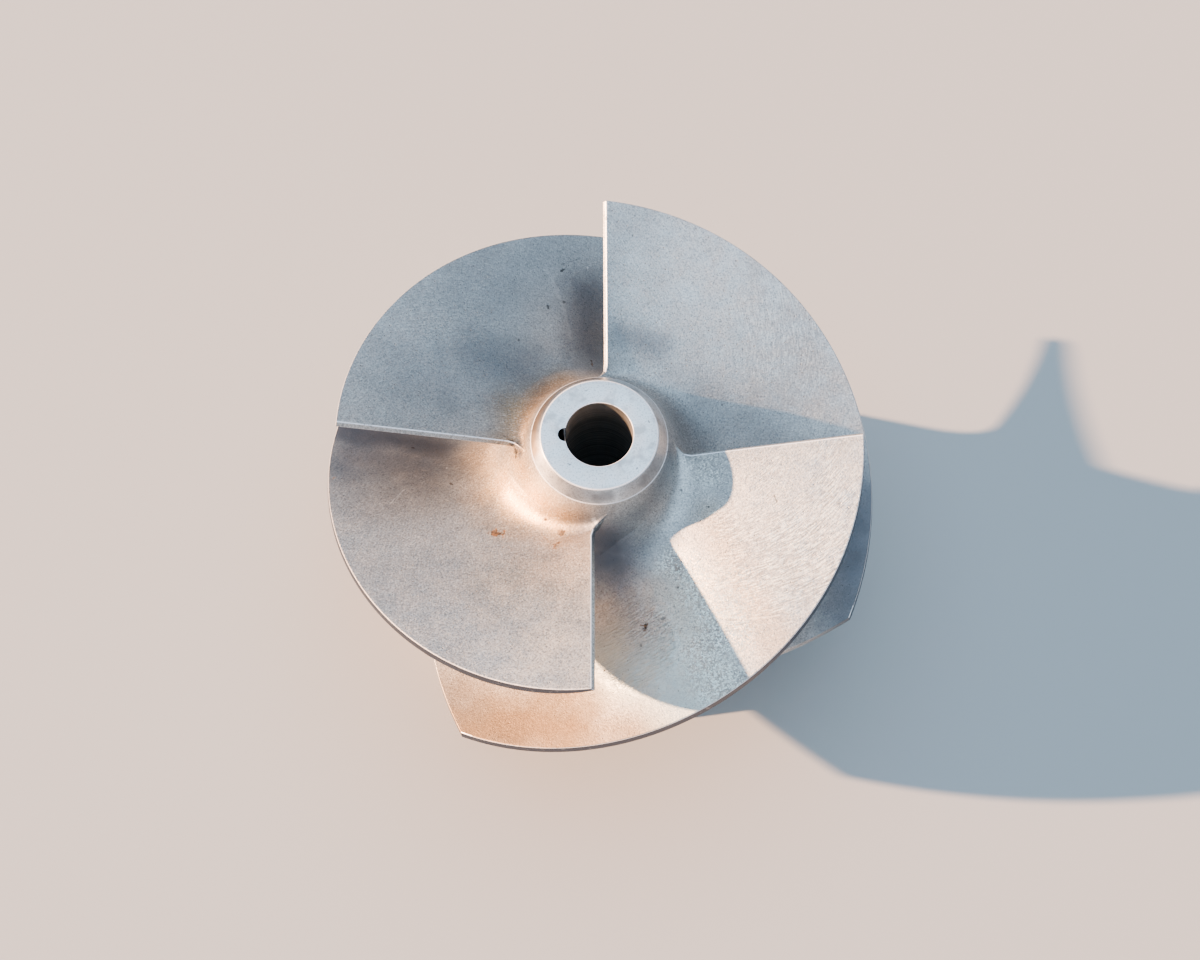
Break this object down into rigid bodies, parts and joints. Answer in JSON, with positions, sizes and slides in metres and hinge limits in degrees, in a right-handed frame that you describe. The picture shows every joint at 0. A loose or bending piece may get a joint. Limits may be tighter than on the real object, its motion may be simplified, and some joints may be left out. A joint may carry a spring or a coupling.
{
  "type": "jet boat impeller",
  "caption": "Open mixed-flow impeller cast in one piece, with overlapping swept blades on a flaring hub and a keyed bore.",
  "frame": {"origin": "on the shaft axis at the hub's back rim, which the impeller stands on", "axes": "+Z along the shaft axis towards the inlet and the nose, +X along the leading edge of one blade; the keyway is at -X"},
  "size_m": [0.327, 0.327, 0.1938],
  "materials": {
    "cast_stainless": "blasted and hand-ground stainless casting with machined rims, nose and bore"
  },
  "bodies": {
    "root": {"impeller": "cast_stainless"}
  },
  "joints": []
}
